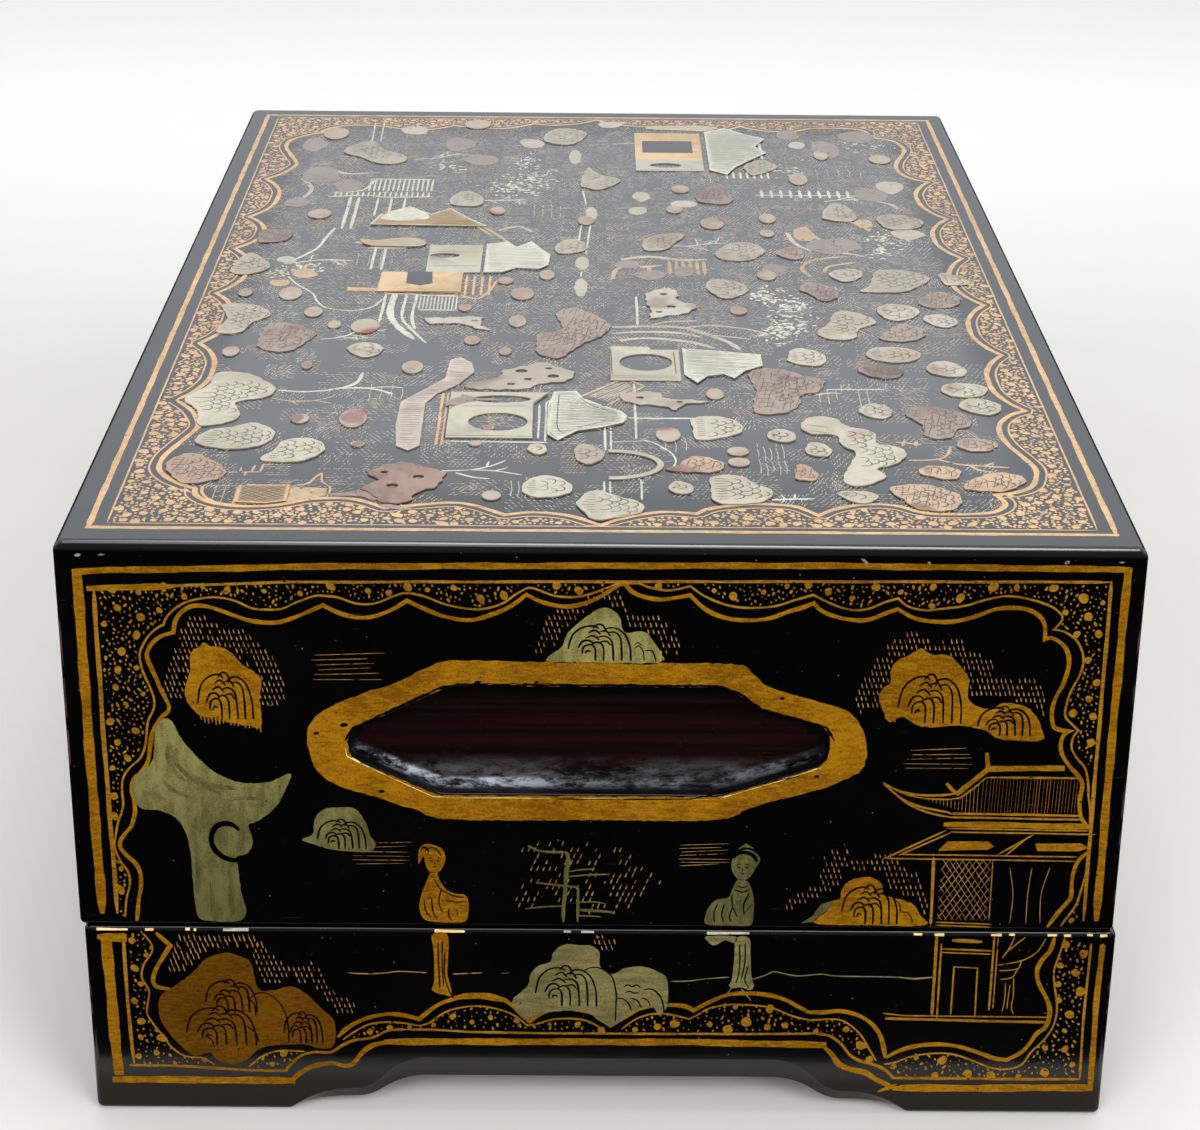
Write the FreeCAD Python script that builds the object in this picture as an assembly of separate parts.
import FreeCAD, Part
import math
import os

from FreeCAD import Vector

# Lacquered box with a deep lift-off cover on a low base with bracket feet, in millimetres.
# The front end faces -Y, the box stands on z = 0, and X and Y are measured from its middle.

# Outer sizes
COVER_WIDTH = 239.6
COVER_LENGTH = 388.4
BASE_WIDTH = 239.3
BASE_LENGTH = 389.6
HEIGHT = 146.3
SEAM_Z = 50.0
# The cover sits pushed to the left by its play on the lining, as its overhang at the seam shows.
COVER_OFFSET_X = -0.35
BASE_OFFSET_X = 0.5

# Boards
COVER_END_THICKNESS = 12.0
COVER_SIDE_THICKNESS = 9.0
TOP_LIP = 4.0
TOP_THICKNESS = 9.0
CORNER_LAP = 4.0
LINING_PLAY_X = 1.2
LINING_PLAY_Y = 0.9
LINING_THICKNESS = 5.0
LINING_RISE = 12.0
FLOOR_BOTTOM = 16.0
FLOOR_THICKNESS = 6.0
FLOOR_TONGUE = 4.0

# Rounded edges
CORNER_RADIUS = 1.5
TOP_ARRIS_RADIUS = 2.4
COVER_FOOT_RADIUS = 1.5
BASE_TOP_RADIUS = 1.2
BASE_FOOT_RADIUS = 1.6

# Arch between the bracket feet: the front arris and the lower edge behind its bevel
FOOT_LENGTH = 44.0
ARCH_ARRIS_RISE = 15.0
ARCH_ARRIS_STEP = 6.3
ARCH_EDGE_RISE = 8.8
ARCH_EDGE_STEP = 2.9
ARCH_BEVEL_DEPTH = 2.0

# Hand recess: corners of the opening in the cover's end as x, z and corner radius
RECESS_CORNERS = [
    (-33.5, 112.0, 9.0), (-56.8, 100.5, 3.2), (-56.0, 94.2, 3.2), (-36.5, 85.2, 8.0), (27.0, 85.2, 10.0),
    (50.8, 93.4, 4.2), (51.4, 102.2, 4.2), (36.0, 106.5, 6.0), (28.0, 112.0, 5.0),
]
RECESS_DEPTH = 5.6
RECESS_COVE_RADIUS = 2.6
RECESS_LIP_RADIUS = 0.6

# Glue blocks, battens and pins
BLOCK_SIZE = 26.0
BLOCK_CHAMFER = 12.0
BLOCK_LIFT = 1.0
BATTEN_WIDTH = 30.0
BATTEN_BOTTOM = 9.5
BATTEN_Y = 95.0
PIN_RADIUS = 1.5
FINE_PIN_RADIUS = 1.25
PIN_COVERED = 0.6
CORNER_PIN_LENGTH = 18.0
TOP_PIN_LENGTH = 15.0
LINING_PIN_LENGTH = 9.0

# Applied relief on the top
RELIEF_THICKNESS = 0.4
# Depth of the small notches in the rocks' outlines, and the length between them
PALE_ROCK_NOTCH = 0.5
BROWN_ROCK_NOTCH = 0.8
PIERCED_ROCK_NOTCH = 1.3
NOTCH_STEP = 1.7

# Outlines of the relief pieces on the top as x, y. Smooth outlines go through their points.
PALE_ROCKS_FRONT = [
    [(-91, -123), (-97, -129), (-97, -133), (-90, -137.2), (-84, -136.8), (-78.8, -131.5), (-79.8, -123),
     (-85, -119.4)],
    [(-75.5, -131), (-69, -130.2), (-65.8, -134), (-66.5, -140.5), (-71.5, -145.3), (-80.5, -144),
     (-77.5, -137)],
    [(-5, -166), (-0.5, -162), (3, -165), (8, -168.5), (9.6, -174), (3, -178.5), (-1.5, -180), (-5, -174)],
    [(-15.8, -154), (-12, -153), (-7.5, -157.5), (-6.8, -163), (-12, -166.5), (-15.8, -166.5)],
    [(-17.8, -134.5), (-15.2, -132), (-12.8, -135), (-14.8, -139.6), (-17.2, -138)],
    [(-6.8, -138), (-3.8, -132.3), (-0.4, -135), (0.7, -140.5), (-3.8, -145.7), (-6.4, -142)],
    [(22.4, -113.8), (27, -112.2), (33.6, -116.5), (33.8, -123.5), (27.5, -128), (23.2, -129.2),
     (21.8, -120)],
    [(40.3, -123), (43, -120.8), (47, -125), (45.5, -129.6), (41, -129)],
    [(48.5, -133), (51.4, -129.7), (54.8, -135), (53, -139.6), (49, -138)],
    [(24.5, -157), (27, -151.8), (32.5, -152.6), (35.5, -157), (39.2, -161.5), (36, -168.4), (25.6, -168.7)],
    [(50, -113.6), (53.4, -111.8), (57.6, -113.4), (59.6, -118.4), (63.4, -120.4), (66.4, -127), (66, -130.6),
     (70, -132), (72.4, -136), (71, -141.4), (67, -145.4), (64.4, -147), (66.2, -151), (64.4, -154.6),
     (59.4, -158.2), (56.4, -157.4), (56.4, -150), (58.4, -143), (59.8, -136), (57, -131), (55.8, -124.6), (51, -124.4)],
    [(53.9, -162), (57.2, -160.9), (63.2, -164.3), (59.5, -168.9), (55.8, -167)],
    [(15.2, -159), (17.8, -155.8), (21.2, -160), (18.6, -164.2), (15.6, -162.4)],
]
PALE_ROCKS_MIDDLE = [
    [(-96, -82.2), (-89, -84), (-84.6, -89), (-81.4, -95), (-84, -101.5), (-90.2, -105), (-88.4, -112),
     (-91.5, -120), (-97.5, -121.5), (-99, -113), (-103.8, -102.5), (-99, -92)],
    [(-65.4, -60), (-60.5, -58.2), (-56.6, -64), (-62, -70.3), (-65, -67)],
    [(64.2, -105), (68, -102), (72.3, -107.5), (68.5, -113.3), (64, -110)],
    [(89.4, -100.5), (94, -98), (99.6, -104), (96, -109.8), (90.6, -107.5)],
    [(86.3, -88.6), (91.5, -86.5), (97.6, -89.5), (95.5, -96), (87.4, -96)],
    [(84.2, -73), (89, -69.4), (94, -75), (92.5, -81.5), (85.6, -80)],
    [(70, -61), (76.5, -58.4), (83.6, -62.5), (82, -69), (71, -69)],
    [(48.8, -64.5), (52, -60), (58.6, -66), (56, -74), (49.2, -71.5)],
    [(-102, -26), (-94, -27.5), (-89.2, -36), (-93.5, -43), (-96, -51), (-101.5, -51.5), (-101, -38)],
    [(-105.5, 4), (-104, 15), (-101.4, 22), (-96, 15), (-94, 7), (-98, 2), (-102, 0.6)],
    [(58.5, -44), (62, -36), (65.5, -28), (72, -31.5), (74.4, -39), (69.5, -44), (68, -51), (59.5, -51.5)],
    [(76.5, -24), (81.5, -21.5), (87.6, -27), (85.5, -33), (79.5, -36.4), (76, -31)],
    [(88.4, -32), (93, -30.6), (97, -36), (93, -42), (88.5, -38)],
    [(30, -3), (32.8, 0), (41.6, -6.5), (40, -14), (34.5, -18), (30.6, -12)],
    [(72.6, -9), (76.8, 1), (80, 10), (88, 9.4), (93.8, 1), (90, -5), (84.5, -10.6)],
    [(96.4, 1), (98, 7.6), (102.6, 4), (105, -2), (97.4, -4)],
    [(65.4, 3), (67.5, 9.5), (73.5, 10.4), (74.6, 3.5), (69, -1.4)],
]
PALE_ROCKS_BACK = [
    [(13, 28), (12.5, 36), (18, 44), (25, 45), (22, 34), (18, 27.5)],
    [(34.6, 20), (36, 32), (42, 37), (48, 31), (47, 23), (40, 17.5)],
    [(-12, 24), (-12.6, 33), (-8.5, 38.4), (-3.4, 33), (-6, 25)],
    [(-45, 74), (-45.6, 84), (-41.5, 90), (-36, 83), (-38, 73)],
    [(-80.5, 132), (-79.6, 147), (-75, 150), (-70.5, 140), (-62.5, 131), (-65, 122), (-72, 122.5)],
    [(-5.6, 96), (-5, 112), (-3, 119.6), (0.4, 111), (7, 105), (3.4, 96), (-1, 92.5)],
    [(67.6, 63), (69.5, 74), (72.5, 80), (78.5, 68), (75.5, 59)],
    [(84, 60), (87, 67), (96.5, 64), (97.4, 55), (88.5, 51)],
    [(46.8, 118), (48.4, 125.8), (53, 130), (58, 123), (54, 115), (49, 111)],
    [(-16.6, 150), (-17.5, 163), (-12.6, 169.6), (-4.4, 165), (-5, 155), (-10.5, 147.6)],
]
BROWN_ROCKS_FRONT = [
    [(-100.8, -143), (-96.5, -140), (-89.6, -146.5), (-86.6, -152), (-91, -158.8), (-96, -159.6),
     (-101, -152)],
    [(66.3, -158.5), (71, -156.4), (79.4, -159.5), (82.2, -167), (77, -173.2), (71, -172), (67.4, -165)],
    [(73.3, -148.5), (77.5, -144.5), (83.6, -147), (82.4, -153.2), (75.6, -151.6)],
    [(44.4, -150), (47, -144.2), (50.6, -151), (48.6, -155.4), (45, -154.4)],
    [(14.6, -147.6), (17.4, -145.4), (19.6, -141.4), (22.8, -139.2), (26.4, -141.2), (29.2, -145.4), (27, -149.6),
     (21.5, -150.4), (17, -149.8)],
    [(82.6, -158), (86.6, -152), (93, -148.6), (98.4, -152), (95.5, -158.5), (88.5, -161.1)],
    [(84.4, -130), (88.6, -126.1), (94.6, -128.5), (93.6, -134), (86, -134)],
]
BROWN_ROCKS_BACK = [
    [(76, -105), (79.6, -103.6), (85.6, -105.6), (88.6, -107.6), (90.6, -113.6), (90, -118.4), (86.2, -120.6),
     (85.6, -124.6), (81, -127), (77.4, -124.6), (78, -119), (75.6, -113)],
    [(37.6, -80), (40, -77), (45.6, -76.4), (50, -79.6), (53.4, -82.4), (56.6, -84.6), (56.4, -90.6), (53.6, -95),
     (50.6, -96.4), (50, -101), (48.6, -106), (44.4, -110), (38.4, -110.4), (37.2, -105), (38.4, -96), (38, -88)],
    [(65.8, -75.5), (71, -73), (78.2, -78.5), (73, -84), (67, -80)],
    [(-90.5, -48), (-86, -42), (-79.5, -45), (-75.2, -52), (-78, -60), (-80.5, -65.4), (-88.5, -64.8),
     (-90.8, -56)],
    [(-17.4, -53), (-16, -49), (-12, -47.5), (-11.6, -30), (-7.4, -27), (-3, -31), (3, -43), (0, -52),
     (-5.6, -60), (-12.5, -70), (-16, -67)],
    [(73.8, -51), (77.6, -43), (81.5, -38.6), (87.6, -45.5), (84, -52.4), (77, -53.8)],
    [(89, -24), (90.6, -13), (96, -10), (100.4, -17), (95, -25)],
    [(56, -6), (60, -2), (65, -6.5), (66.6, -15), (62, -20), (57.8, -13)],
    [(52.6, 22), (53, 30), (57, 32.6), (60, 27), (57, 19)],
    [(33.6, 78), (34, 96), (38, 100.4), (41.6, 90), (38.5, 77)],
    [(-101.5, 40), (-98, 46.5), (-91, 42), (-93, 34), (-99, 32)],
]
# Pebbles: x, y, half width, half length
PEBBLES = [
    (-58.2, -133.2, 1.7, 1.8), (-30.2, -132.2, 1.7, 1.7), (-25.3, -165.5, 2.2, 2.7), (16, -125.3, 3.0, 4.8),
    (32.3, -136.3, 2.6, 2.8), (32.2, -143.4, 2.6, 2.8), (-27.4, -121.4, 1.4, 1.6), (-73.5, -116.2, 2.2, 3.2),
    (-60.6, -115.6, 3.4, 6.4), (-96.4, -66.0, 2.2, 3.9), (-75.6, -76.5, 1.4, 3.0), (-48.4, -77.6, 2.8, 4.8),
    (28.5, -96.2, 2.3, 3.8), (-34, -55.6, 2.2, 3.4), (-25, -64.4, 1.7, 3.0), (-63, -44.6, 3.9, 6.0),
    (-71.4, -43.4, 1.8, 3.2), (-78, -32.6, 2.5, 4.2), (-85.8, -16.4, 3.2, 5.6), (-98.4, -15.8, 2.0, 3.4),
    (-21.6, -15, 3.3, 5.4), (-22.4, -39.4, 2.4, 4.8), (-37, -27.8, 1.8, 3.0), (-26.6, -3, 2.2, 3.2),
    (-15, 2.8, 2.2, 4.4), (37.8, -28.6, 2.4, 3.4), (47.4, 4, 2.8, 4.6), (-31, 68, 2.4, 4.0),
    (-88, 160, 4.2, 7.6), (-41, 174, 4.4, 6.0), (-85, 63, 3.6, 5.0), (25.6, 94, 2.8, 4.2),
    (63.5, 107, 3.0, 6.6), (51, 62, 2.6, 4.8), (92, 132, 3.6, 5.0), (73, 137, 2.4, 5.8),
    (50, 46, 2.2, 3.6), (-4, 58, 2.6, 4.6), (34, 56, 3.6, 6.0), (23, 71, 2.6, 4.0),
]
# Pierced garden rocks: outline, then the round holes as x, y, radius
PIERCED_ROCKS = [
    ([(-51.5, -147), (-46, -144.6), (-40, -148), (-36.2, -151), (-36.4, -157), (-38.5, -161.5),
      (-42, -165), (-44, -170.5), (-49.5, -171), (-53, -166), (-55.5, -161), (-52.5, -156),
      (-55.4, -152)],
     [(-42.5, -154.4, 1.3), (-48.2, -160.1, 1.4), (-50.6, -151.6, 0.9)]),
    ([(-25.4, -79), (-20, -75.4), (-16, -73), (-10, -76.6), (-6, -82.5), (-9.5, -88), (-15.4, -90.4),
      (-19, -94), (-27, -94.4), (-33, -94.2), (-35, -90), (-30, -87), (-26.4, -84)],
     [(-20.4, -80, 1.5), (-12.2, -83.8, 1.5), (-18.6, -86.2, 1.0), (-22.8, -90, 1.0), (-13.4, -77.8, 0.9)]),
    ([(5.4, -96), (10, -94.4), (15, -95.6), (17, -99.6), (24, -100.2), (27.4, -102), (21, -104.6),
      (18.6, -108.4), (14.8, -106), (9, -104.4), (4.6, -101.4)],
     [(9.6, -99.4, 1.0), (19.4, -102.2, 0.8)]),
    ([(-47.5, -36.6), (-38, -35.6), (-31, -36.4), (-31.5, -43), (-28, -47), (-34, -46), (-37.5, -42),
      (-47, -41.4)],
     [(-34, -39.4, 0.9)]),
    ([(12.6, -36), (12.4, -24), (13.4, -12), (19, -8.4), (22.4, -13), (21.6, -19), (26.8, -24), (25, -30),
      (18, -34.6)],
     [(17.6, -14.4, 1.1), (19.4, -25.6, 1.3), (16, -30.4, 0.9)]),
]
# Walls, roofs and other straight-edged pieces: outline, then round or oval holes as x, y, half sizes
FRONT_GATE_WALL = ([(-37.6, -128.4), (-37.6, -96.2), (-13, -96.2), (-16.6, -104), (-16.6, -128.4)],
                   [(-25.3, -117.4, 7.2, 6.4), (-25.0, -101.2, 7.4, 2.8)])
FRONT_GATE_ROOF = [(-11.6, -96), (-6.4, -95.2), (-5, -100.4), (0, -105.6), (4.6, -109.6), (6, -113),
                   (5, -117.4), (0, -120.6), (-6, -123), (-10.6, -129.6), (-12.8, -126), (-13, -106)]
MIDDLE_GATE_WALL = ([(2.4, -86.4), (2.4, -60), (12.4, -60), (13.2, -62.4), (20.4, -62.4), (20.4, -86.4)],
                    [(11.6, -72.4, 6.8, 6.8)])
MIDDLE_GATE_ROOF = [(21.6, -61.6), (41.4, -65.8), (41.4, -74.4), (36.8, -78.4), (34, -84), (31.4, -81),
                    (27, -82.6), (24.4, -87.6), (21.6, -82)]
LEFT_HALL_WALL = ([(-49.6, 4.4), (-49.6, 31), (-34, 31), (-34, 4.4)],
                  [(-44.8, 20.6, 4.2, 2.4)])
LEFT_HALL_ANNEX = ([(-62, -13.6), (-62, 4.2), (-38.8, 4.2), (-38.8, -13.6)],
                   [(-51, -1.2, 3.2, 5.0)])
LEFT_HALL_ROOF = [(-32.8, 32), (-27, 34.6), (-24.4, 29), (-20, 35), (-17.4, 28), (-14.6, 22), (-15, 12),
                  (-17.6, 8.4), (-24, 9.4), (-28, 5), (-32.8, 4.6)]
FAR_HALL_WALL = ([(12, 116), (12, 163.6), (34, 163.6), (34, 116)],
                 [(22.4, 147, 6.6, 5.4), (21.6, 122.4, 5.0, 3.0)])
FAR_HALL_ROOF = [(36, 117), (41, 112), (44, 121), (50, 131), (55, 139), (51.6, 147), (55.4, 157),
                 (49, 163), (43, 171), (36, 165)]
GARDEN_PATH = [(-39, -72), (-36.4, -69.6), (-33.2, -74), (-32.4, -81), (-36, -90.4), (-41, -97.4),
               (-43.6, -104.6), (-43.4, -134), (-46, -137.4), (-49, -134.4), (-50, -120), (-49.8, -104),
               (-43.2, -92.4), (-39.6, -86)]
BOAT_CABIN = [(-82.8, -160.6), (-71.8, -160.6), (-71.8, -169.8), (-76, -171.4), (-82.8, -170.6)]
SAMPAN = [(-69.6, 36), (-64, 35.4), (-57.6, 37.6), (-52, 35), (-51.6, 31), (-56, 29.4), (-63, 29.8), (-69, 32.4)]
SAIL_ROOFS = [(-68.6, 52), (-66, 63), (-58, 71), (-51, 63), (-45.4, 69.6), (-39, 58), (-34, 51)]
# Bridge: middle of its arc, outer radius, deck width, start and end angle in degrees
BRIDGE_CENTRE = (1.5, -145.4)
BRIDGE_RADIUS = (13.0, 9.6)
BRIDGE_DECK = 1.6


def box(x0, x1, y0, y1, z0, z1):
    return Part.makeBox(x1 - x0, y1 - y0, z1 - z0, Vector(x0, y0, z0))


def centred_box(half_x, half_y, z0, z1, offset_x):
    return box(offset_x - half_x, offset_x + half_x, -half_y, half_y, z0, z1)


def level_edges(shape, z):
    found = []
    for edge in shape.Edges:
        bounds = edge.BoundBox
        if abs(bounds.ZMin - z) < 1e-6 and abs(bounds.ZMax - z) < 1e-6:
            found.append(edge)
    return found


def upright_edges(shape):
    found = []
    for edge in shape.Edges:
        bounds = edge.BoundBox
        if bounds.XLength < 1e-6 and bounds.YLength < 1e-6:
            found.append(edge)
    return found


def rounded_envelope(half_x, half_y, z0, z1, offset_x, foot_radius, top_radius):
    # Outer shape that every board of the cover or the base is trimmed to, so their faces run on.
    shape = centred_box(half_x, half_y, z0, z1, offset_x)
    shape = shape.makeFillet(CORNER_RADIUS, upright_edges(shape))
    shape = shape.makeFillet(foot_radius, level_edges(shape, z0))
    return shape.makeFillet(top_radius, level_edges(shape, z1))


def pin(start, direction, length, radius):
    return Part.makeCylinder(radius, length, start, direction)


# Places of the walls' faces, from the middle of the cover and of the base
COVER_X = COVER_WIDTH / 2
COVER_Y = COVER_LENGTH / 2
BASE_X = BASE_WIDTH / 2
BASE_Y = BASE_LENGTH / 2
COVER_INNER_X = COVER_X - COVER_SIDE_THICKNESS
COVER_INNER_Y = COVER_Y - COVER_END_THICKNESS
LINING_X = COVER_INNER_X - LINING_PLAY_X
LINING_Y = COVER_INNER_Y - LINING_PLAY_Y
WALL_TOP = HEIGHT - TOP_LIP
FLOOR_TOP = FLOOR_BOTTOM + FLOOR_THICKNESS
COVER_ENVELOPE = rounded_envelope(
    COVER_X, COVER_Y, SEAM_Z, HEIGHT, COVER_OFFSET_X, COVER_FOOT_RADIUS, TOP_ARRIS_RADIUS)
BASE_ENVELOPE = rounded_envelope(
    BASE_X, BASE_Y, 0.0, SEAM_Z, BASE_OFFSET_X, BASE_FOOT_RADIUS, BASE_TOP_RADIUS)


def turned(shape):
    # The back end is the front end turned half round, about the middle line of its own part.
    copy = shape.copy()
    copy.rotate(Vector(0, 0, 0), Vector(0, 0, 1), 180)
    return copy


def rounded_outline(corners, place):
    # Closed wire through corners given as x, z and radius, put into space by the place function.
    starts = []
    count = len(corners)
    for i in range(count):
        x, z, radius = corners[i]
        here = Vector(x, z, 0)
        before = Vector(corners[i - 1][0], corners[i - 1][1], 0)
        after = Vector(corners[(i + 1) % count][0], corners[(i + 1) % count][1], 0)
        back = (before - here).normalize()
        ahead = (after - here).normalize()
        half_angle = back.getAngle(ahead) / 2
        reach = radius / math.tan(half_angle)
        bisector = (back + ahead).normalize()
        middle = here + bisector * (radius / math.sin(half_angle) - radius)
        starts.append((here + back * reach, middle, here + ahead * reach))
    edges = []
    for i in range(count):
        first, middle, last = starts[i]
        following = starts[(i + 1) % count][0]
        edges.append(Part.Arc(place(first), place(middle), place(last)).toShape())
        edges.append(Part.LineSegment(place(last), place(following)).toShape())
    return Part.Wire(edges)


def hand_recess():
    # Shallow grip carved into the end wall: straight lip, then a cove all round its floor.
    def on_face(point):
        return Vector(point.x, -COVER_Y - 1.0, point.y)

    wire = rounded_outline(RECESS_CORNERS, on_face)
    tool = Part.Face(wire).extrude(Vector(0, RECESS_DEPTH + 1.0, 0))
    floor_y = -COVER_Y + RECESS_DEPTH
    floor_edges = []
    for edge in tool.Edges:
        bounds = edge.BoundBox
        if bounds.YMin > floor_y - 1e-6:
            floor_edges.append(edge)
    return tool.makeFillet(RECESS_COVE_RADIUS, floor_edges)


def softened_lip(board):
    # Rounds the arris where the recess breaks out through the face of the end wall.
    lip = []
    for edge in board.Edges:
        bounds = edge.BoundBox
        on_face = bounds.YMax < -COVER_Y + 1e-4
        in_recess = bounds.ZMin > 80.0 and bounds.ZMax < 120.0
        if on_face and in_recess:
            lip.append(edge)
    return board.makeFillet(RECESS_LIP_RADIUS, lip)


def cover_corner_pins(offset_x):
    pins = []
    for side in (-1, 1):
        x = offset_x + side * (COVER_X - COVER_SIDE_THICKNESS / 2)
        for z in (62.0, 84.0, 106.0, 128.0):
            start = -COVER_Y + PIN_COVERED
            pins.append(pin(Vector(x, start, z), Vector(0, 1, 0), CORNER_PIN_LENGTH, PIN_RADIUS))
            pins.append(pin(Vector(x, -start, z), Vector(0, -1, 0), CORNER_PIN_LENGTH, PIN_RADIUS))
    return Part.makeCompound(pins)


def cover_top_pins(offset_x):
    pins = []
    down = Vector(0, 0, -1)
    top = HEIGHT - PIN_COVERED
    for side in (-1, 1):
        for y in (-150.0, -75.0, 0.0, 75.0, 150.0):
            x = offset_x + side * (COVER_X - COVER_SIDE_THICKNESS / 2)
            pins.append(pin(Vector(x, y, top), down, TOP_PIN_LENGTH, FINE_PIN_RADIUS))
        for x in (-70.0, 0.0, 70.0):
            y = side * (COVER_Y - COVER_END_THICKNESS / 2)
            pins.append(pin(Vector(offset_x + x, y, top), down, TOP_PIN_LENGTH, FINE_PIN_RADIUS))
    return Part.makeCompound(pins)


def cover_top_board():
    panel = centred_box(COVER_X, COVER_Y, WALL_TOP, HEIGHT, COVER_OFFSET_X)
    rebate = centred_box(COVER_INNER_X, COVER_INNER_Y, HEIGHT - TOP_THICKNESS, WALL_TOP, COVER_OFFSET_X)
    board = panel.fuse(rebate).common(COVER_ENVELOPE)
    return board.cut(cover_top_pins(COVER_OFFSET_X)).removeSplitter()


def cover_end_blank(offset_x):
    # End wall at the front: a full-width skin that laps the side walls, and a thick middle.
    skin = box(offset_x - COVER_X, offset_x + COVER_X, -COVER_Y, -COVER_Y + CORNER_LAP, SEAM_Z, WALL_TOP)
    middle = box(offset_x - COVER_INNER_X, offset_x + COVER_INNER_X, -COVER_Y, -COVER_INNER_Y,
                 SEAM_Z, WALL_TOP)
    return skin.fuse(middle)


def cover_front_board():
    board = cover_end_blank(COVER_OFFSET_X).common(COVER_ENVELOPE)
    board = softened_lip(board.cut(hand_recess()))
    board = board.cut(cover_corner_pins(COVER_OFFSET_X))
    return board.cut(cover_top_pins(COVER_OFFSET_X)).removeSplitter()


def cover_back_board():
    # The blank is made about the mirrored offset, so that turning it round puts it in place.
    envelope = turned(COVER_ENVELOPE)
    board = cover_end_blank(-COVER_OFFSET_X).common(envelope)
    board = turned(softened_lip(board.cut(hand_recess())))
    board = board.cut(cover_corner_pins(COVER_OFFSET_X))
    return board.cut(cover_top_pins(COVER_OFFSET_X)).removeSplitter()


def cover_side_board(side):
    near = COVER_OFFSET_X + side * COVER_INNER_X
    far = COVER_OFFSET_X + side * COVER_X
    reach = COVER_Y - CORNER_LAP
    blank = box(min(near, far), max(near, far), -reach, reach, SEAM_Z, WALL_TOP)
    board = blank.common(COVER_ENVELOPE)
    board = board.cut(cover_corner_pins(COVER_OFFSET_X))
    return board.cut(cover_top_pins(COVER_OFFSET_X)).removeSplitter()


def arch_wire(half_span, rise, step, place):
    # Closed outline of the space under an apron: a flat crown, an ogee each side and a low step.
    crown = half_span - 35.5
    points = [
        (half_span + 0.5, 0.0), (half_span - 1.2, 0.05 * step), (half_span - 3.0, 0.2 * step),
        (half_span - 8.0, 0.68 * step), (half_span - 14.0, 0.97 * step), (half_span - 18.5, step),
        (half_span - 21.5, step + 0.12 * (rise - step)), (half_span - 24.5, step + 0.42 * (rise - step)),
        (half_span - 29.0, step + 0.83 * (rise - step)), (crown, rise),
    ]
    edges = []
    for sign in (1, -1):
        ring = [place(sign * x, z) for x, z in points]
        edges.append(Part.Arc(ring[0], ring[1], ring[2]).toShape())
        edges.append(Part.Arc(ring[2], ring[3], ring[4]).toShape())
        edges.append(Part.LineSegment(ring[4], ring[5]).toShape())
        edges.append(Part.Arc(ring[5], ring[6], ring[7]).toShape())
        edges.append(Part.Arc(ring[7], ring[8], ring[9]).toShape())
    edges.append(Part.LineSegment(place(crown, rise), place(-crown, rise)).toShape())
    low = -3.0
    start = half_span + 0.5
    edges.append(Part.LineSegment(place(start, 0.0), place(start, low)).toShape())
    edges.append(Part.LineSegment(place(start, low), place(-start, low)).toShape())
    edges.append(Part.LineSegment(place(-start, low), place(-start, 0.0)).toShape())
    return Part.Wire(Part.__sortEdges__(edges))


def arch_tool(half_span, thickness, place_at):
    # What is sawn and bevelled away below the apron: the bevel first, then straight on through.
    def front(x, z):
        return place_at(x, 0.0, z)

    def behind(x, z):
        return place_at(x, ARCH_BEVEL_DEPTH, z)

    arris = arch_wire(half_span, ARCH_ARRIS_RISE, ARCH_ARRIS_STEP, front)
    edge = arch_wire(half_span, ARCH_EDGE_RISE, ARCH_EDGE_STEP, behind)
    bevel = Part.makeLoft([arris, edge], True, True)
    inward = place_at(0, 1, 0) - place_at(0, 0, 0)
    through = Part.Face(edge).extrude(inward * thickness)
    return bevel, through


def base_corner_pins():
    pins = []
    start = -BASE_Y + PIN_COVERED
    for side in (-1, 1):
        x = BASE_OFFSET_X + side * (BASE_X + LINING_X) / 2
        for z in (11.0, 26.0, 41.0):
            pins.append(pin(Vector(x, start, z), Vector(0, 1, 0), CORNER_PIN_LENGTH, PIN_RADIUS))
            pins.append(pin(Vector(x, -start, z), Vector(0, -1, 0), CORNER_PIN_LENGTH, PIN_RADIUS))
    return Part.makeCompound(pins)


def lining_pins():
    pins = []
    z = 36.0
    inner_x = LINING_X - LINING_THICKNESS
    inner_y = LINING_Y - LINING_THICKNESS
    for side in (-1, 1):
        for y in (-140.0, -47.0, 47.0, 140.0):
            start = Vector(BASE_OFFSET_X + side * inner_x, y, z)
            pins.append(pin(start, Vector(side, 0, 0), LINING_PIN_LENGTH, FINE_PIN_RADIUS))
        for x in (-60.0, 60.0):
            start = Vector(BASE_OFFSET_X + x, side * inner_y, z)
            pins.append(pin(start, Vector(0, side, 0), LINING_PIN_LENGTH, FINE_PIN_RADIUS))
    return Part.makeCompound(pins)


def base_floor_board():
    board = centred_box(LINING_X + FLOOR_TONGUE, LINING_Y + FLOOR_TONGUE, FLOOR_BOTTOM, FLOOR_TOP,
                        BASE_OFFSET_X)
    return board.cut(batten_pins())


def fitted_apron(blank, bevel, through):
    apron = blank.common(BASE_ENVELOPE)
    apron = apron.cut(bevel).cut(through)
    apron = apron.cut(centred_box(LINING_X + FLOOR_TONGUE, LINING_Y + FLOOR_TONGUE, FLOOR_BOTTOM, FLOOR_TOP,
                                  BASE_OFFSET_X))
    return apron.cut(base_corner_pins()).cut(lining_pins()).removeSplitter()


def base_end_apron(side):
    # side -1 is the front apron and 1 the back one
    def place_at(x, depth, z):
        return Vector(BASE_OFFSET_X + x, side * (BASE_Y - depth), z)

    near = side * BASE_Y
    lap = side * (BASE_Y - CORNER_LAP)
    inner = side * LINING_Y
    skin = box(BASE_OFFSET_X - BASE_X, BASE_OFFSET_X + BASE_X, min(near, lap), max(near, lap), 0.0, SEAM_Z)
    middle = box(BASE_OFFSET_X - LINING_X, BASE_OFFSET_X + LINING_X, min(near, inner), max(near, inner),
                 0.0, SEAM_Z)
    bevel, through = arch_tool(BASE_X - FOOT_LENGTH, BASE_Y - LINING_Y + 1.0, place_at)
    return fitted_apron(skin.fuse(middle), bevel, through)


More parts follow.
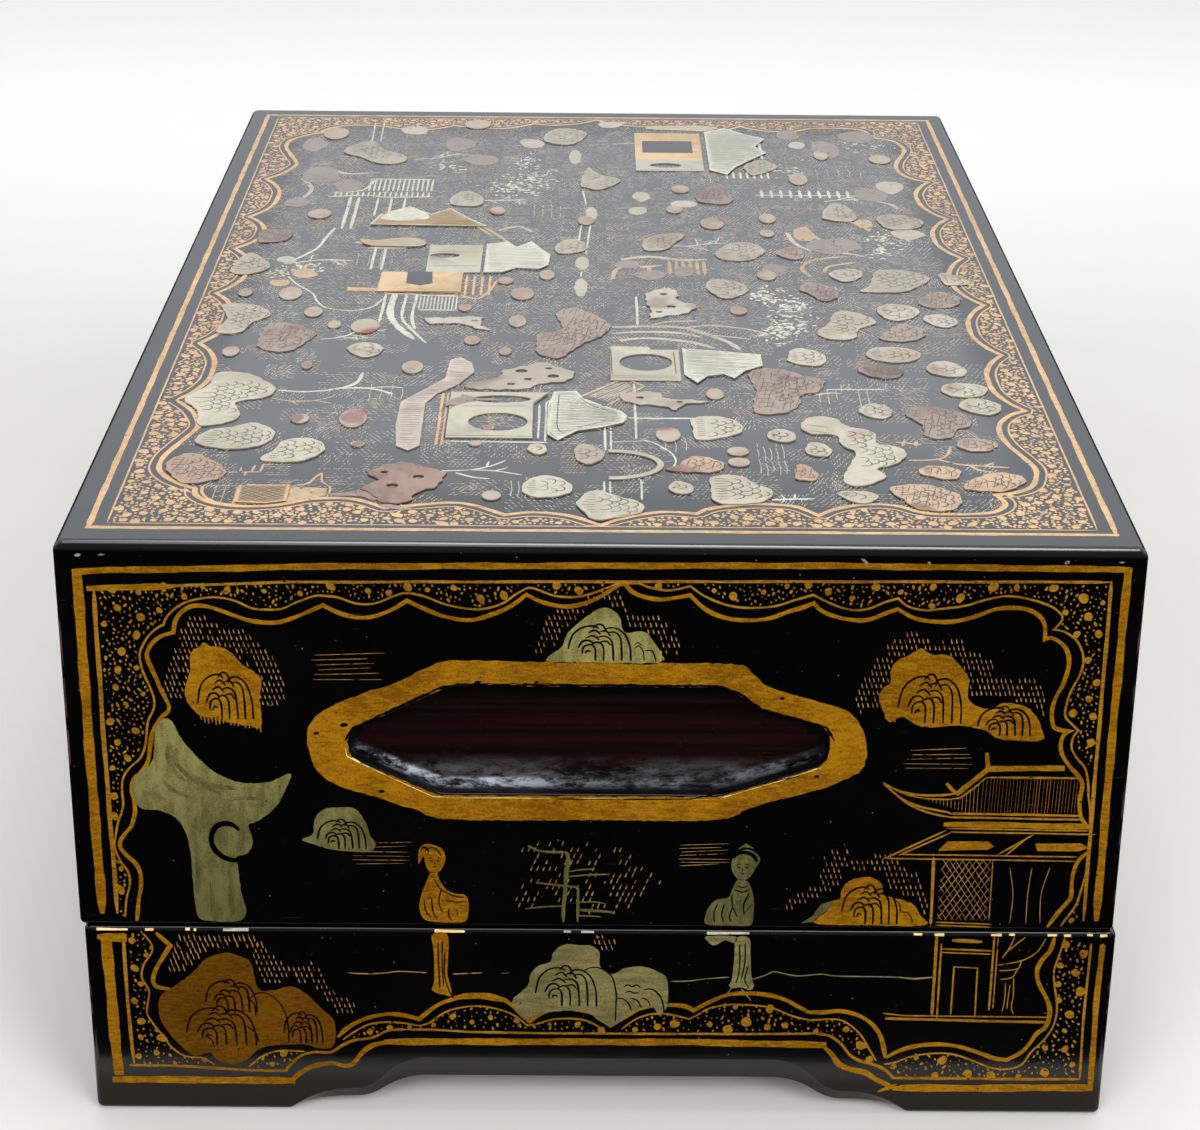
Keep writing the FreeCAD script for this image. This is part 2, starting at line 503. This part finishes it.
def base_side_apron(side):
    def place_at(y, depth, z):
        return Vector(BASE_OFFSET_X + side * (BASE_X - depth), y, z)

    near = BASE_OFFSET_X + side * LINING_X
    far = BASE_OFFSET_X + side * BASE_X
    reach = BASE_Y - CORNER_LAP
    blank = box(min(near, far), max(near, far), -reach, reach, 0.0, SEAM_Z)
    bevel, through = arch_tool(BASE_Y - FOOT_LENGTH, BASE_X - LINING_X + 1.0, place_at)
    return fitted_apron(blank, bevel, through)


def lining_end(side):
    outer = side * LINING_Y
    inner = side * (LINING_Y - LINING_THICKNESS)
    board = box(BASE_OFFSET_X - LINING_X, BASE_OFFSET_X + LINING_X, min(outer, inner), max(outer, inner),
                FLOOR_TOP, SEAM_Z + LINING_RISE)
    board = board.makeFillet(CORNER_RADIUS, level_edges(board, SEAM_Z + LINING_RISE))
    return board.cut(lining_pins())


def lining_side(side):
    outer = BASE_OFFSET_X + side * LINING_X
    inner = BASE_OFFSET_X + side * (LINING_X - LINING_THICKNESS)
    reach = LINING_Y - LINING_THICKNESS
    board = box(min(outer, inner), max(outer, inner), -reach, reach, FLOOR_TOP, SEAM_Z + LINING_RISE)
    long_edges = []
    for edge in level_edges(board, SEAM_Z + LINING_RISE):
        if edge.BoundBox.YLength > 1.0:
            long_edges.append(edge)
    return board.makeFillet(CORNER_RADIUS, long_edges).cut(lining_pins())


def foot_block(side_x, side_y):
    # Square glue block in the corner under the floor, with its free corner sawn off.
    x = LINING_X
    y = LINING_Y
    outline = [
        (x, y), (x - BLOCK_SIZE, y), (x - BLOCK_SIZE, y - BLOCK_SIZE + BLOCK_CHAMFER),
        (x - BLOCK_SIZE + BLOCK_CHAMFER, y - BLOCK_SIZE), (x, y - BLOCK_SIZE), (x, y),
    ]
    points = []
    for px, py in outline:
        points.append(Vector(BASE_OFFSET_X + side_x * px, side_y * py, BLOCK_LIFT))
    return Part.Face(Part.makePolygon(points)).extrude(Vector(0, 0, FLOOR_BOTTOM - BLOCK_LIFT))


def batten_pins():
    pins = []
    for side in (-1, 1):
        for x in (-75.0, 0.0, 75.0):
            start = Vector(BASE_OFFSET_X + x, side * BATTEN_Y, BATTEN_BOTTOM)
            pins.append(pin(start, Vector(0, 0, 1), LINING_PIN_LENGTH, PIN_RADIUS))
    return Part.makeCompound(pins)


def floor_batten(side):
    y = side * BATTEN_Y
    batten = box(BASE_OFFSET_X - LINING_X, BASE_OFFSET_X + LINING_X, y - BATTEN_WIDTH / 2,
                 y + BATTEN_WIDTH / 2, BATTEN_BOTTOM, FLOOR_BOTTOM)
    return batten.cut(batten_pins())


def on_top(x, y):
    return Vector(x, y, HEIGHT)


def raised(wire):
    return Part.Face(wire).extrude(Vector(0, 0, RELIEF_THICKNESS))


def smooth_piece(outline):
    curve = Part.BSplineCurve()
    curve.interpolate([on_top(x, y) for x, y in outline], PeriodicFlag=True)
    return raised(Part.Wire([curve.toShape()]))


def notched_piece(outline, depth):
    # Smooth outline broken into short facets, each corner set in by its own share of the depth
    curve = Part.BSplineCurve()
    curve.interpolate([on_top(x, y) for x, y in outline], PeriodicFlag=True)
    count = max(12, round(curve.length() / NOTCH_STEP))
    middle_x = sum(x for x, y in outline) / len(outline)
    middle_y = sum(y for x, y in outline) / len(outline)
    corners = []
    for k in range(count):
        spot = curve.value(curve.parameterAtDistance(curve.length() * k / count))
        along = curve.tangent(curve.parameterAtDistance(curve.length() * k / count))[0]
        inward = Vector(-along.y, along.x, 0)
        share = 0.5 + 0.3 * math.sin(2.3 * k + middle_x) + 0.2 * math.sin(1.1 * k + middle_y)
        corners.append((spot, inward, share * depth))
    turn = 0.0
    for k in range(count):
        here = corners[k][0]
        after = corners[(k + 1) % count][0]
        turn += here.x * after.y - after.x * here.y
    side = 1.0 if turn > 0 else -1.0
    points = [spot + inward * (side * inset) for spot, inward, inset in corners]
    return raised(Part.makePolygon(points + points[:1]))


def straight_piece(outline):
    return raised(Part.makePolygon([on_top(x, y) for x, y in outline + outline[:1]]))


def oval_piece(x, y, half_x, half_y):
    if half_x >= half_y:
        oval = Part.Ellipse(on_top(x, y), half_x, half_y - 1e-4)
        return raised(Part.Wire([oval.toShape()]))
    oval = Part.Ellipse(on_top(x, y), half_y, half_x)
    shape = oval.toShape()
    shape.rotate(on_top(x, y), Vector(0, 0, 1), 90)
    return raised(Part.Wire([shape]))


def rocks(outlines, depth):
    return Part.makeCompound([notched_piece(outline, depth) for outline in outlines])


def pebbles():
    return Part.makeCompound([oval_piece(*pebble) for pebble in PEBBLES])


def pierced_rocks():
    pieces = []
    for outline, holes in PIERCED_ROCKS:
        rock = notched_piece(outline, PIERCED_ROCK_NOTCH)
        for x, y, radius in holes:
            rock = rock.cut(Part.makeCylinder(radius, RELIEF_THICKNESS, on_top(x, y)))
        pieces.append(rock)
    return Part.makeCompound(pieces)


def wall_with_gates(wall):
    outline, gates = wall
    shape = straight_piece(outline)
    for gate in gates:
        shape = shape.cut(oval_piece(*gate))
    return shape


def left_hall():
    return Part.makeCompound([wall_with_gates(LEFT_HALL_WALL), wall_with_gates(LEFT_HALL_ANNEX)])


def bridge():
    # Curved deck of the footbridge, half an oval ring
    x, y = BRIDGE_CENTRE
    half_x, half_y = BRIDGE_RADIUS
    outer = oval_piece(x, y, half_x, half_y)
    inner = oval_piece(x, y, half_x - BRIDGE_DECK, half_y - BRIDGE_DECK)
    open_side = box(x - half_x - 1, x, y - half_y - 1, y + half_y + 1, HEIGHT, HEIGHT + RELIEF_THICKNESS)
    return outer.cut(inner).cut(open_side)


def boats():
    return Part.makeCompound([straight_piece(BOAT_CABIN), smooth_piece(SAMPAN)])


NODES = {
    "cover_top_board": cover_top_board(),
    "cover_front_board": cover_front_board(),
    "cover_back_board": cover_back_board(),
    "cover_left_board": cover_side_board(-1),
    "cover_right_board": cover_side_board(1),
    "cover_corner_pins": cover_corner_pins(COVER_OFFSET_X),
    "cover_top_pins": cover_top_pins(COVER_OFFSET_X),
    "relief_pale_rocks_front": rocks(PALE_ROCKS_FRONT, PALE_ROCK_NOTCH),
    "relief_pale_rocks_middle": rocks(PALE_ROCKS_MIDDLE, PALE_ROCK_NOTCH),
    "relief_pale_rocks_back": rocks(PALE_ROCKS_BACK, PALE_ROCK_NOTCH),
    "relief_brown_rocks_front": rocks(BROWN_ROCKS_FRONT, BROWN_ROCK_NOTCH),
    "relief_brown_rocks_back": rocks(BROWN_ROCKS_BACK, BROWN_ROCK_NOTCH),
    "relief_pebbles": pebbles(),
    "relief_pierced_rocks": pierced_rocks(),
    "relief_front_gate_wall": wall_with_gates(FRONT_GATE_WALL),
    "relief_front_gate_roof": straight_piece(FRONT_GATE_ROOF),
    "relief_middle_gate_wall": wall_with_gates(MIDDLE_GATE_WALL),
    "relief_middle_gate_roof": straight_piece(MIDDLE_GATE_ROOF),
    "relief_left_hall": left_hall(),
    "relief_left_hall_roof": straight_piece(LEFT_HALL_ROOF),
    "relief_far_hall_wall": wall_with_gates(FAR_HALL_WALL),
    "relief_far_hall_roof": straight_piece(FAR_HALL_ROOF),
    "relief_garden_path": straight_piece(GARDEN_PATH),
    "relief_bridge": bridge(),
    "relief_boats": boats(),
    "relief_sail_roofs": straight_piece(SAIL_ROOFS),
    "base_front_apron": base_end_apron(-1),
    "base_back_apron": base_end_apron(1),
    "base_left_apron": base_side_apron(-1),
    "base_right_apron": base_side_apron(1),
    "base_floor_board": base_floor_board(),
    "lining_front": lining_end(-1),
    "lining_back": lining_end(1),
    "lining_left": lining_side(-1),
    "lining_right": lining_side(1),
    "foot_block_front_left": foot_block(-1, -1),
    "foot_block_front_right": foot_block(1, -1),
    "foot_block_back_left": foot_block(-1, 1),
    "foot_block_back_right": foot_block(1, 1),
    "floor_batten_front": floor_batten(-1),
    "floor_batten_back": floor_batten(1),
    "base_corner_pins": base_corner_pins(),
    "lining_pins": lining_pins(),
    "batten_pins": batten_pins(),
}

os.makedirs("parts", exist_ok=True)
for name, shape in NODES.items():
    shape.exportStep("parts/" + name + ".step")
    print(name, "solids", len(shape.Solids), "valid", shape.isValid(), "volume", round(shape.Volume, 1))
